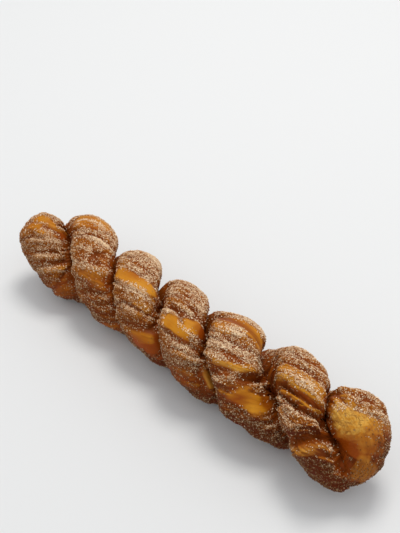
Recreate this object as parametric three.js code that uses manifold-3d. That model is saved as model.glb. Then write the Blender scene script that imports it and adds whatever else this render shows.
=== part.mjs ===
// A sugar twist: one rope of fried dough, folded in half and wound round itself.
//
// The two halves of the rope are strands A and B of a right-handed two-strand helix that lies
// along +X on the surface z = 0. Seven crests show along its top, A and B by turns. At the far
// end (-X) both tips are pinched shut. At the near end (+X) strand A rolls over the top, turns
// down round the end and tucks under, onto the end of strand B, which makes a ball.
// Lengths are in millimetres, angles in degrees unless a name says otherwise.

import * as THREE from 'three';
import { mergeVertices } from 'three/addons/utils/BufferGeometryUtils.js';
import Module from 'manifold-3d';

// ---------------------------------------------------------------- driving dimensions

// The seven crests, from the far end to the near end: where each stands along the twist, how
// far its strand's middle is from the twist's axis, and the strand's half thickness there.
const CRESTS = [
  { along: -154.4, swing: 14.0, half: 14.8 },
  { along: -95.8, swing: 13.6, half: 13.3 },
  { along: -51.7, swing: 15.2, half: 12.4 },
  { along: -7.5, swing: 16.1, half: 12.0 },
  { along: 32.5, swing: 16.0, half: 13.3 },
  { along: 83.1, swing: 17.8, half: 12.3 },
  { along: 99.6, swing: 15.6, half: 10.5 },
];

// A strand is wider along the surface than it is thick, and fullest a little outside its middle.
const SPREAD = 1.17;
const BELLY = 0.17;
// How far each strand reaches past the axis, where the two are baked into one.
const MERGE = 2.2;
// How deep the flat spots underneath are.
const REST_DEPTH = 1.2;

// The whole twist bows slightly towards the back.
const BOW = { depth: -2, middle: 23.5, reach: 115 };

// The pinched far tips: where in its turn each strand starts, in degrees from the top, how long
// its rounded end is, and the share of its swing that it starts with.
const TIP_A = { turn: 12.5, round: 18.5, gather: 1 };
const TIP_B = { turn: -150, round: 18, gather: 0.55 };

// The ball: strand A leaves the helix at this station and turn, and rolls round a bend that
// faces the end. Its inner side is pinched to a point.
const BALL = {
  along: 112.2,
  turn: -27,
  yaw: -10,
  swing: 17.7,
  half: 12.2,
  spread: 1.24,
  sweep: 165,
  ease: 33,
  shiftY: -1.9,
  shiftZ: 0.8,
  pinch: 1.1,
  blend: 13,
  round: 12,
};
// Strand B runs on inside the ball and ends there.
const TUCK = { beyond: 12.1, turn: 11.7, half: 10.5, round: 9 };

// The dough's uneven swells: the strand (0 is A, 1 is B), how far along it from its far tip, at
// which turn from its outer side, how high and how wide.
const SWELLS = [
  { strand: 0, at: 3, turn: -20, height: 2.6, wide: 4 },
  { strand: 0, at: 6, turn: -24, height: 1.6, wide: 5 },
  { strand: 0, at: 8, turn: -6, height: 1.6, wide: 10 },
  { strand: 0, at: 19, turn: 17, height: 0.9, wide: 10 },
  { strand: 0, at: 49, turn: 2, height: 3.6, wide: 14 },
  { strand: 0, at: 112, turn: -9, height: 2.5, wide: 11 },
  { strand: 0, at: 168, turn: 18, height: -1.8, wide: 11 },
  { strand: 0, at: 239, turn: 51, height: -3.3, wide: 13 },
  { strand: 0, at: 255, turn: -65, height: 3.9, wide: 13 },
  { strand: 0, at: 271, turn: -14, height: -2.7, wide: 10 },
  { strand: 0, at: 293, turn: 33, height: 3.5, wide: 8 },
  { strand: 0, at: 305, turn: -142, height: -2.6, wide: 11 },
  { strand: 0, at: 368, turn: 56, height: -4.2, wide: 15 },
  { strand: 0, at: 379, turn: 60, height: -1.6, wide: 7 },
  { strand: 0, at: 386, turn: -39, height: 1.9, wide: 10 },
  { strand: 0, at: 390, turn: 130, height: 2.6, wide: 8 },
  { strand: 0, at: 394, turn: -27, height: 1.4, wide: 13 },
  { strand: 0, at: 411, turn: 2, height: 2.2, wide: 9 },
  { strand: 1, at: 22, turn: 57, height: 2.1, wide: 12 },
  { strand: 1, at: 35, turn: -4, height: 3.3, wide: 11 },
  { strand: 1, at: 60, turn: -65, height: -1.5, wide: 12 },
  { strand: 1, at: 69, turn: 18, height: -2.4, wide: 13 },
  { strand: 1, at: 234, turn: -10, height: 2.2, wide: 12 },
  { strand: 1, at: 226, turn: -88, height: -1.3, wide: 11 },
  { strand: 1, at: 303, turn: 15, height: 1.2, wide: 13 },
  { strand: 1, at: 323, turn: -57, height: 2.2, wide: 12 },
  { strand: 1, at: 339, turn: 29, height: -3.8, wide: 14 },
  { strand: 1, at: 349, turn: -98, height: -3, wide: 6 },
  { strand: 1, at: 362, turn: -118, height: -4.3, wide: 13 },
];

// The deepest folds, which run with the ridges: where the middle of each is, how far it reaches
// to both sides in degrees, how high (a lip) or deep (below zero) it is, how wide, and how fast
// it winds round the strand, in radians per millimetre.
const FOLDS = [
  { strand: 0, at: 37.5, turn: -72, reach: 40, height: -1.2, wide: 2.2, lay: 0.17 },
  { strand: 0, at: 146, turn: -28, reach: 55, height: -1, wide: 2.2, lay: 0.145 },
  { strand: 0, at: 160.5, turn: -25, reach: 85, height: -2, wide: 2.6, lay: 0.17 },
  { strand: 0, at: 255, turn: -10, reach: 95, height: -1.1, wide: 2.6, lay: 0.106 },
  { strand: 0, at: 275.8, turn: -14, reach: 80, height: 1.7, wide: 2.4, lay: 0.15 },
  { strand: 0, at: 281.2, turn: -28, reach: 100, height: -3.2, wide: 2.4, lay: 0.28 },
  { strand: 1, at: 67, turn: -31, reach: 28, height: -1.4, wide: 2.2, lay: 0.17 },
  { strand: 1, at: 86, turn: -35, reach: 60, height: -1.3, wide: 2.2, lay: 0.184 },
  { strand: 1, at: 189.5, turn: 2, reach: 60, height: -1.7, wide: 2.3, lay: 0.17 },
  { strand: 1, at: 331.5, turn: 0, reach: 110, height: -1.8, wide: 2.2, lay: 0.145 },
  { strand: 1, at: 337.5, turn: -10, reach: 110, height: -1.8, wide: 2.2, lay: 0.145 },
  { strand: 1, at: 352, turn: -15, reach: 110, height: -3.8, wide: 2.8, lay: 0.33 },
  { strand: 1, at: 357.5, turn: -20, reach: 100, height: 1.5, wide: 3, lay: 0.45 },
];

// The dough is stretched into ridges, which lie nearly along the twist where they show.
const RIDGE = { count: 5, height: 1.2, run: 15, lay: 0.17 };

// Steps round a strand and along it, so that the ridges lie on the mesh's diagonals.
const STEPS_ROUND = 16;
const STEP_ALONG = (2 * Math.PI) / STEPS_ROUND / RIDGE.lay;

const CRUST = new THREE.MeshStandardMaterial({ color: 0xa8622a, roughness: 0.75, metalness: 0 });

// ---------------------------------------------------------------- curves

const radians = THREE.MathUtils.degToRad;
const mix = THREE.MathUtils.lerp;

/** Cubic Hermite curve through (knots, values) with the given slopes, at x. */
function hermite(knots, values, slopes, x) {
  let i = 0;
  while (i < knots.length - 2 && x > knots[i + 1]) i += 1;
  const width = knots[i + 1] - knots[i];
  const u = (x - knots[i]) / width;
  const rise = u * u * (3 - 2 * u);
  const start = u * (1 - u) * (1 - u) * width * slopes[i];
  const end = u * u * (u - 1) * width * slopes[i + 1];
  return values[i] * (1 - rise) + values[i + 1] * rise + start + end;
}

/** Smooth step from 0 at start to 1 at end. */
function ease(x, start, end) {
  const u = Math.min(1, Math.max(0, (x - start) / (end - start)));
  return u * u * (3 - 2 * u);
}

/** Half turns made since the first crest, at station x, in radians. */
function makePhase() {
  const at = CRESTS.map((crest) => crest.along);
  const last = at.length - 1;
  const before = at[1] - at[0];
  const after = at[last] - at[last - 1];
  const knots = [at[0] - 2 * before, at[0] - before, ...at, at[last] + after, at[last] + 2 * after];
  const values = knots.map((knot, i) => Math.PI * (i - 2));
  const rates = knots.slice(1).map((knot, i) => Math.PI / (knot - knots[i]));
  const slopes = knots.map((knot, i) => {
    if (i === 0) return rates[0];
    if (i === knots.length - 1) return rates[i - 1];
    return (2 * rates[i - 1] * rates[i]) / (rates[i - 1] + rates[i]);
  });
  return (x) => hermite(knots, values, slopes, x);
}
const phase = makePhase();

/** A crest dimension of one strand, smooth between that strand's own crests. */
function crestValue(first, key, x) {
  const own = CRESTS.filter((crest, i) => i % 2 === first);
  const knots = own.map((crest) => crest.along);
  const values = own.map((crest) => crest[key]);
  const rates = knots.slice(1).map((knot, i) => (values[i + 1] - values[i]) / (knot - knots[i]));
  const slopes = knots.map((knot, i) => {
    if (i === 0) return rates[0];
    if (i === knots.length - 1) return rates[i - 1];
    return (rates[i - 1] + rates[i]) / 2;
  });
  const inside = Math.min(knots[knots.length - 1], Math.max(knots[0], x));
  return hermite(knots, values, slopes, inside);
}

/** How far the surface of the two strands reaches from the axis at station x, on average. */
function reach(x) {
  const sum = (first) => crestValue(first, 'swing', x) + crestValue(first, 'half', x);
  return (sum(0) + sum(1)) / 2;
}

/** The axis of the twist at station x. */
function axisPoint(x) {
  const bow = BOW.depth * (1 - ((x - BOW.middle) / BOW.reach) ** 2);
  const toBall = ease(x, BALL.along - BALL.ease, BALL.along);
  const height = reach(x) + toBall * (BALL.swing + BALL.half - reach(x)) - REST_DEPTH;
  return new THREE.Vector3(x, bow + toBall * BALL.shiftY, height + toBall * BALL.shiftZ);
}

/** Direction from the axis at a turn of theta radians from the top, towards the front. */
function outward(theta) {
  return new THREE.Vector3(0, -Math.sin(theta), Math.cos(theta));
}

/** The turn in radians at which strand A (first = 0) or B (first = 1) leaves the helix. */
function finalTurn(first) {
  const turns = (CRESTS.length - 1 - first) * Math.PI;
  return turns + radians(BALL.turn + first * TUCK.turn);
}

// ---------------------------------------------------------------- strands

/** One station of a strand: its middle, the point that it turns about, and its thicknesses. */
function station(middle, pivot, half, depth, spread, bend) {
  return { middle, pivot, half, depth, spread, bend };
}

/** Stations along the helix of strand A (first = 0) or B (first = 1), from its far tip. */
function helixStations(first) {
  const steps = 600;
  const tip = first === 0 ? TIP_A : TIP_B;
  const finish = first === 0 ? BALL.along : BALL.along + TUCK.beyond;
  const finalHalf = first === 0 ? BALL.half : TUCK.half;
  const offset = first * Math.PI;
  const correction = finalTurn(first) + offset - phase(finish);
  let begin = CRESTS[0].along - 90;
  while (phase(begin) - offset < radians(tip.turn)) begin += 0.1;
  const stations = [];
  for (let i = 0; i <= steps; i += 1) {
    const x = begin + ((finish - begin) * i) / steps;
    const toBall = ease(x, BALL.along - BALL.ease, finish);
    const theta = phase(x) - offset + toBall * correction;
    const gather = mix(tip.gather, 1, ease(x, begin, begin + 2 * tip.round));
    const swing = mix(crestValue(first, 'swing', x), BALL.swing, toBall) * gather;
    const half = mix(crestValue(first, 'half', x), finalHalf, toBall);
    const pivot = axisPoint(x);
    const middle = pivot.clone().addScaledVector(outward(theta), swing);
    const depth = swing + mix(MERGE, first === 0 ? -BALL.pinch : MERGE, toBall);
    const spread = mix(SPREAD, BALL.spread, toBall);
    stations.push(station(middle, pivot, half, depth, spread, 0));
  }
  return stations;
}

/** Stations round the ball, where strand A rolls over the end and down. */
function ballStations() {
  const steps = 200;
  const theta = finalTurn(0);
  const pivot = axisPoint(BALL.along);
  const radial = outward(theta);
  const yaw = radians(BALL.yaw);
  const forward = outward(theta + Math.PI / 2).multiplyScalar(Math.sin(yaw));
  forward.x = Math.cos(yaw);
  const stations = [];
  for (let i = 1; i <= steps; i += 1) {
    const angle = (radians(BALL.sweep) * i) / steps;
    const middle = pivot.clone();
    middle.addScaledVector(forward, BALL.swing * Math.sin(angle));
    middle.addScaledVector(radial, BALL.swing * Math.cos(angle));
    const depth = BALL.swing - BALL.pinch;
    stations.push(station(middle, pivot, BALL.half, depth, BALL.spread, 1));
  }
  return stations;
}

/** The stations moved to even steps, close to the given one, along their middles. */
function evened(stations, step) {
  const lengths = [0];
  for (let i = 1; i < stations.length; i += 1) {
    lengths.push(lengths[i - 1] + stations[i].middle.distanceTo(stations[i - 1].middle));
  }
  const total = lengths[lengths.length - 1];
  const count = Math.round(total / step);
  const even = [];
  let j = 0;
  for (let i = 0; i <= count; i += 1) {
    const at = (total * i) / count;
    while (j < lengths.length - 2 && lengths[j + 1] < at) j += 1;
    const u = (at - lengths[j]) / (lengths[j + 1] - lengths[j]);
    const a = stations[j];
    const b = stations[j + 1];
    const middle = a.middle.clone().lerp(b.middle, u);
    const pivot = a.pivot.clone().lerp(b.pivot, u);
    const [half, depth, spread, bend] = ['half', 'depth', 'spread', 'bend'].map((key) =>
      mix(a[key], b[key], u),
    );
    const between = station(middle, pivot, half, depth, spread, bend);
    even.push({ ...between, at, left: total - at });
  }
  return even;
}

/** Points drawn towards their neighbours on both sides, with the two ends kept. */
function eased(points, neighbours) {
  return points.map((point, i) => {
    const width = Math.min(neighbours, i, points.length - 1 - i);
    const sum = new THREE.Vector3();
    let weights = 0;
    for (let k = -width; k <= width; k += 1) {
      const weight = 1 + Math.cos((Math.PI * k) / (width + 1));
      sum.addScaledVector(points[i + k], weight);
      weights += weight;
    }
    return sum.divideScalar(weights);
  });
}

/** Stations of a whole strand, a millimetre apart, with the turn into the ball eased. */
function strandStations(first) {
  const helix = helixStations(first);
  const stations = evened(first === 0 ? [...helix, ...ballStations()] : helix, 1);
  const middles = eased(stations.map((each) => each.middle), BALL.blend);
  const pivots = eased(stations.map((each) => each.pivot), BALL.blend);
  return stations.map((each, i) => ({ ...each, middle: middles[i], pivot: pivots[i] }));
}

// ---------------------------------------------------------------- ridges

/** A steady random number from -1 to 1 for a cell of a grid. */
function cellValue(i, j, seed) {
  const wave = Math.sin(i * 127.1 + j * 311.7 + seed * 74.7) * 43758.5453;
  return 2 * (wave - Math.floor(wave)) - 1;
}

/** Smooth noise from -1 to 1, which repeats round the strand after count cells. */
function ridgeNoise(round, along, count, seed) {
  const u = round - Math.floor(round / count) * count;
  const i = Math.floor(u);
  const j = Math.floor(along);
  const next = (i + 1) % count;
  const a = ease(u, i, i + 1);
  const b = ease(along, j, j + 1);
  const here = mix(cellValue(i, j, seed), cellValue(next, j, seed), a);
  const there = mix(cellValue(i, j + 1, seed), cellValue(next, j + 1, seed), a);
  return mix(here, there, b);
}

/** An angle in radians brought into -pi to pi. */
function wrapped(angle) {
  return Math.atan2(Math.sin(angle), Math.cos(angle));
}

/** The swells' height on a strand at a distance from its far tip and an angle round it. */
function swellHeight(first, at, angle, half) {
  const own = SWELLS.filter((swell) => swell.strand === first);
  return own.reduce((sum, swell) => {
    const along = (at - swell.at) / swell.wide;
    const across = (wrapped(angle - radians(swell.turn)) * half) / swell.wide;
    return sum + swell.height * Math.exp(-along * along - across * across);
  }, 0);
}

/** The folds' height on a strand, each along a line that runs with the ridges. */
function foldHeight(first, at, angle) {
  const own = FOLDS.filter((fold) => fold.strand === first);
  return own.reduce((sum, fold) => {
    const turned = wrapped(angle - radians(fold.turn));
    const off = (at - fold.at + turned / fold.lay) / fold.wide;
    const kept = 1 - ease(Math.abs(turned), radians(fold.reach) / 2, radians(fold.reach));
    return sum + fold.height * kept * Math.exp(-off * off);
  }, 0);
}

// ---------------------------------------------------------------- mesh

/** The closed mesh of strand A (first = 0) or B (first = 1). */
function strandGeometry(first) {
  const stations = evened(strandStations(first), STEP_ALONG);
  const tip = first === 0 ? TIP_A : TIP_B;
  const endRound = first === 0 ? BALL.round : TUCK.round;
  const last = stations.length - 1;
  const rings = [];
  let lay = 0;
  for (let i = 1; i < last; i += 1) {
    const { middle, pivot, half, depth, spread, bend, at, left } = stations[i];
    const tangent = stations[i + 1].middle.clone().sub(stations[i - 1].middle).normalize();
    const out = middle.clone().sub(pivot);
    out.addScaledVector(tangent, -out.dot(tangent)).normalize();
    const side = tangent.clone().cross(out);
    lay += STEP_ALONG * RIDGE.lay * (1 - bend);
    const closed = Math.sqrt(roundness(at / tip.round) * roundness(left / endRound));
    const ring = [];
    for (let j = 0; j < STEPS_ROUND; j += 1) {
      const angle = (2 * Math.PI * j) / STEPS_ROUND;
      const round = ((angle + lay) / (2 * Math.PI)) * RIDGE.count;
      const ridge = RIDGE.height * ridgeNoise(round, at / RIDGE.run, RIDGE.count, first);
      const relief = ridge + swellHeight(first, at, angle, half) + foldHeight(first, at, angle);
      const facing = Math.cos(angle);
      const sideways = Math.sin(angle);
      const radial = ((facing > 0 ? half : depth) + relief) * facing * closed;
      const lateral = (half * spread * (1 + BELLY * facing) + relief) * sideways * closed;
      ring.push(middle.clone().addScaledVector(out, radial).addScaledVector(side, lateral));
    }
    rings.push(ring);
  }
  return closedTube(stations[0].middle, rings, stations[last].middle);
}

/** How full a rounded end is, squared, at a share of its length from the tip. */
function roundness(share) {
  return 1 - Math.max(0, 1 - share) ** 2;
}

/** A tube of rings, drawn together to one point at each end. */
function closedTube(start, rings, end) {
  const points = [start, ...rings.flat(), end];
  const count = rings[0].length;
  const lastPoint = points.length - 1;
  const faces = [];
  for (let j = 0; j < count; j += 1) {
    const next = (j + 1) % count;
    faces.push(0, 1 + next, 1 + j);
    for (let i = 0; i < rings.length - 1; i += 1) {
      const a = 1 + i * count;
      const b = a + count;
      faces.push(a + j, a + next, b + j);
      faces.push(a + next, b + next, b + j);
    }
    const a = 1 + (rings.length - 1) * count;
    faces.push(a + j, a + next, lastPoint);
  }
  const geometry = new THREE.BufferGeometry();
  geometry.setFromPoints(points);
  geometry.setIndex(faces);
  return geometry;
}

// ---------------------------------------------------------------- the whole twist

const wasm = await Module();
wasm.setup();

/** A geometry as a solid that can be joined and cut. */
function solidFrom(geometry) {
  geometry.deleteAttribute('normal');
  geometry.deleteAttribute('uv');
  const merged = mergeVertices(geometry, 1e-4);
  const vertProperties = new Float32Array(merged.attributes.position.array);
  const triVerts = new Uint32Array(merged.index.array);
  return new wasm.Manifold(new wasm.Mesh({ numProp: 3, vertProperties, triVerts }));
}

/** A solid as a geometry, with its box centred on the origin and standing on z = 0. */
function geometryFrom(solid) {
  const { vertProperties, triVerts } = solid.getMesh();
  const geometry = new THREE.BufferGeometry();
  geometry.setAttribute('position', new THREE.BufferAttribute(vertProperties, 3));
  geometry.setIndex(new THREE.BufferAttribute(triVerts, 1));
  geometry.computeBoundingBox();
  const { min, max } = geometry.boundingBox;
  geometry.translate(-(min.x + max.x) / 2, -(min.y + max.y) / 2, -min.z);
  geometry.computeVertexNormals();
  return geometry;
}

/** The largest shell of a solid, without the scraps and hollows that joining leaves inside. */
function largestShell(solid) {
  const shells = solid.decompose();
  return shells.reduce((best, shell) => (shell.volume() > best.volume() ? shell : best));
}

/** The block below the surface, which cuts the flat spots that the twist rests on. */
function groundGeometry() {
  const thickness = 30;
  const ground = new THREE.BoxGeometry(600, 300, thickness);
  ground.translate(0, 0, -thickness / 2);
  return ground;
}

const strandA = solidFrom(strandGeometry(0));
const strandB = solidFrom(strandGeometry(1));
const twistSolid = strandA.add(strandB).subtract(solidFrom(groundGeometry()));

const dough = new THREE.Mesh(geometryFrom(largestShell(twistSolid)), CRUST);
dough.name = 'dough';

const sugarTwist = new THREE.Group();
sugarTwist.add(dough);

export default sugarTwist;
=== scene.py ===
"""Looks of the sugar twist: the fried dough, its coat of sugar, a pale floor, light and camera.

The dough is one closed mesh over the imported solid: the same two strands, with finer folds and
wrinkles. The sugar is real grains, laid on where the dough is sugared. Shapes are worked out in
millimetres and written in metres.
"""

import logging
import math
from dataclasses import dataclass, field
from enum import Enum
from typing import Any, Sequence

import bpy
import numpy as np
from mathutils import Matrix, Vector


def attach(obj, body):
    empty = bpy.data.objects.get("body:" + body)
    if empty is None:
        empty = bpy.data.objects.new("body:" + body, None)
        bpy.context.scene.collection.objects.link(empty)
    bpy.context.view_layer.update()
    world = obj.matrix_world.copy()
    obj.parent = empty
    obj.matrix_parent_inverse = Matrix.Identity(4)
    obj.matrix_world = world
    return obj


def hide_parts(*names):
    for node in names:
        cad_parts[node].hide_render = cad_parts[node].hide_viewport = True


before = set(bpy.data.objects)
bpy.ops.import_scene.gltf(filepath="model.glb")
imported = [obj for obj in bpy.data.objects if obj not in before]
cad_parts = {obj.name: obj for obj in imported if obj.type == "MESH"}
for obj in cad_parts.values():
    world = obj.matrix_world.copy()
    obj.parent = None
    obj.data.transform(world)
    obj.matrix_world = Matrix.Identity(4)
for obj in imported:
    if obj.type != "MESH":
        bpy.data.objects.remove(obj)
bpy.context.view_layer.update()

LOG = logging.getLogger("sugar_twist")
Array = np.ndarray
MM = 0.001


# ------------------------------------------------------------------ curves and noise


def hermite(knots: Array, values: Array, slopes: Array, x: Array) -> Array:
    """Cubic Hermite curve: v0 (1 - rise) + v1 rise + the two end slopes' shares.

    Args:
        knots: places of the values, rising.
        values: value at each knot.
        slopes: slope at each knot.
        x: where the curve is wanted.

    Returns:
        The curve's values at x.
    """
    i = np.clip(np.searchsorted(knots, x, side="left") - 1, 0, len(knots) - 2)
    width = knots[i + 1] - knots[i]
    u = (x - knots[i]) / width
    rise = u * u * (3 - 2 * u)
    start = u * (1 - u) ** 2 * width * slopes[i]
    end = u * u * (u - 1) * width * slopes[i + 1]
    return values[i] * (1 - rise) + values[i + 1] * rise + start + end


def ease(x: Array, start: float, end: float) -> Array:
    """Smooth step 3 u^2 - 2 u^3 from 0 at start to 1 at end."""
    u = np.clip((np.asarray(x, float) - start) / (end - start), 0.0, 1.0)
    return u * u * (3 - 2 * u)


def wrapped(angle: Array) -> Array:
    """An angle in radians brought into -pi to pi."""
    return np.arctan2(np.sin(angle), np.cos(angle))


def cell_value(i: Array, j: Array, seed: int) -> Array:
    """A steady random number from -1 to 1 for a cell: the fraction of a large sine."""
    wave = np.sin(i * 127.1 + j * 311.7 + seed * 74.7) * 43758.5453
    return 2 * (wave - np.floor(wave)) - 1


def ring_noise(turns: Array, along: Array, count: int, seed: int) -> Array:
    """Smooth value noise that repeats round a strand after count cells.

    Args:
        turns: place round the strand, in whole turns.
        along: place along the strand, in cells.
        count: cells in a turn.
        seed: picks the pattern.

    Returns:
        Noise from -1 to 1: four cell values eased into each other.
    """
    u = (turns - np.floor(turns)) * count
    i = np.floor(u)
    j = np.floor(along)
    following = (i + 1) % count
    a = ease(u - i, 0, 1)
    b = ease(along - j, 0, 1)
    here = cell_value(i, j, seed) * (1 - a) + cell_value(following, j, seed) * a
    there = cell_value(i, j + 1, seed) * (1 - a) + cell_value(following, j + 1, seed) * a
    return here * (1 - b) + there * b


# ------------------------------------------------------------------ sizes of the twist


class Rope(Enum):
    """The two halves of the rope of dough."""

    A = 0
    B = 1


@dataclass(frozen=True)
class Crest:
    """One crest on the top of the twist: its place, its strand's swing and half thickness."""

    along: float
    swing: float
    half: float


@dataclass(frozen=True)
class Tip:
    """A pinched far tip: its turn from the top, its rounded length and its share of swing."""

    turn: float
    rounding: float
    gather: float


@dataclass(frozen=True)
class Swell:
    """An uneven swell (or hollow, below zero) on a strand."""

    rope: Rope
    at: float
    turn: float
    height: float
    wide: float


@dataclass(frozen=True)
class Fold:
    """A fold (or lip, above zero) that runs with the ridges, with its middle at (at, turn).

    Its reach is in degrees round the strand, and its lay in radians to a millimetre along it.
    """

    rope: Rope
    at: float
    turn: float
    reach: float
    height: float
    wide: float
    lay: float = 0.17


@dataclass(frozen=True)
class Patch:
    """A stretch of crust, long with the ridges, with its middle at (at, turn).

    Its qualities run from 0 to 1: bare (no sugar), smooth (no wrinkles), pale (blond crust),
    creased (deep wrinkles), frosted (thick white sugar), crumbly (a net of small cracks) and red
    (crust of a deeper red). Its lay is in radians to a millimetre along the strand.
    """

    rope: Rope
    at: float
    turn: float
    long: float
    wide: float
    bare: float = 0.0
    smooth: float = 0.0
    pale: float = 0.0
    creased: float = 0.0
    frosted: float = 0.0
    lay: float = 0.14
    crumbly: float = 0.0
    red: float = 0.0


@dataclass(frozen=True)
class WrinkleBand:
    """Wrinkles of one width: cells in a turn, their run, the grooves' depth and power, ripple."""

    count: int
    run: float
    depth: float
    power: int
    ripple: float


@dataclass(frozen=True)
class StreakBand:
    """Streaks of sugar of one width: their share, run, cells in a turn and seed."""

    share: float
    run: float
    count: int
    seed: int


A, B = Rope.A, Rope.B

CRESTS = (
    Crest(-154.4, 14.0, 14.8),
    Crest(-95.8, 13.6, 13.3),
    Crest(-51.7, 15.2, 12.4),
    Crest(-7.5, 16.1, 12.0),
    Crest(32.5, 16.0, 13.3),
    Crest(83.1, 17.8, 12.3),
    Crest(99.6, 15.6, 10.5),
)

SWELLS = (
    Swell(A, 3, -20, 2.6, 4),
    Swell(A, 6, -24, 1.6, 5),
    Swell(A, 8, -6, 1.6, 10),
    Swell(A, 19, 17, 0.9, 10),
    Swell(A, 49, 2, 3.6, 14),
    Swell(A, 112, -9, 2.5, 11),
    Swell(A, 168, 18, -1.8, 11),
    Swell(A, 239, 51, -3.3, 13),
    Swell(A, 255, -65, 3.9, 13),
    Swell(A, 271, -14, -2.7, 10),
    Swell(A, 293, 33, 3.5, 8),
    Swell(A, 305, -142, -2.6, 11),
    Swell(A, 368, 56, -4.2, 15),
    Swell(A, 379, 60, -1.6, 7),
    Swell(A, 386, -39, 1.9, 10),
    Swell(A, 390, 130, 2.6, 8),
    Swell(A, 394, -27, 1.4, 13),
    Swell(A, 411, 2, 2.2, 9),
    Swell(B, 22, 57, 2.1, 12),
    Swell(B, 35, -4, 3.3, 11),
    Swell(B, 60, -65, -1.5, 12),
    Swell(B, 69, 18, -2.4, 13),
    Swell(B, 234, -10, 2.2, 12),
    Swell(B, 226, -88, -1.3, 11),
    Swell(B, 221, -88, 1.8, 3.4),
    Swell(B, 226, -86, 2.2, 3.4),
    Swell(B, 231, -82, 1.8, 3.4),
    Swell(B, 221, -66, -1.6, 3.2),
    Swell(B, 227, -62, -1.8, 3.2),
    Swell(B, 303, 15, 1.2, 13),
    Swell(B, 323, -57, 2.2, 12),
    Swell(B, 339, 29, -3.8, 14),
    Swell(B, 349, -98, -3.0, 6),
    Swell(B, 362, -118, -4.3, 13),
)

FOLDS = (
    Fold(A, 37.5, -72, 40, -1.8, 1.8),
    Fold(A, 19, -57, 40, -1.2, 1.8, 0.12),
    Fold(A, 127, 0, 60, -0.8, 1.6, 0.12),
    Fold(A, 146, -28, 55, -1.0, 2.2, 0.145),
    Fold(A, 160.5, -25, 85, -2.4, 2.2),
    Fold(A, 255, -10, 95, -1.2, 2.6, 0.106),
    Fold(A, 249, -10, 95, 0.9, 2.4, 0.106),
    Fold(A, 262.5, -10, 80, 0.8, 2.6, 0.106),
    Fold(A, 275.8, -14, 80, 2.0, 2.0, 0.15),
    Fold(A, 285.4, -72, 60, -4.5, 2.0, 0.28),
    Fold(B, 67, -31, 28, -2.0, 1.8),
    Fold(B, 86, -35, 60, -1.8, 1.7, 0.184),
    Fold(B, 92, -45, 45, -1.4, 1.6, 0.184),
    Fold(B, 189.5, 2, 60, -2.4, 1.9),
    Fold(B, 178, 10, 70, -0.8, 1.6, 0.12),
    Fold(B, 203, -45, 40, 0.9, 1.8, 0.12),
    Fold(B, 229, -30, 40, -1.4, 1.8),
    Fold(B, 331.5, 0, 110, -2.8, 1.4, 0.145),
    Fold(B, 337.5, -10, 110, -3.0, 1.5, 0.145),
    Fold(B, 334.5, -5, 100, 0.9, 1.4, 0.145),
    Fold(B, 326, 0, 90, 1.1, 1.8, 0.13),
    Fold(B, 316, 20, 80, -1.2, 1.5, 0.12),
    Fold(B, 308, 15, 80, -0.9, 1.6, 0.12),
    Fold(B, 352, -15, 110, -5.0, 2.3, 0.33),
    Fold(B, 357.5, -20, 100, 1.8, 2.8, 0.45),
    Fold(A, 381.8, 40, 70, -1.4, 1.1, 0.23),
    Fold(A, 389, 30, 40, -0.8, 1.1, 0.09),
    Fold(A, 390, 5, 50, -0.9, 1.2, 0.15),
)

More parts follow.
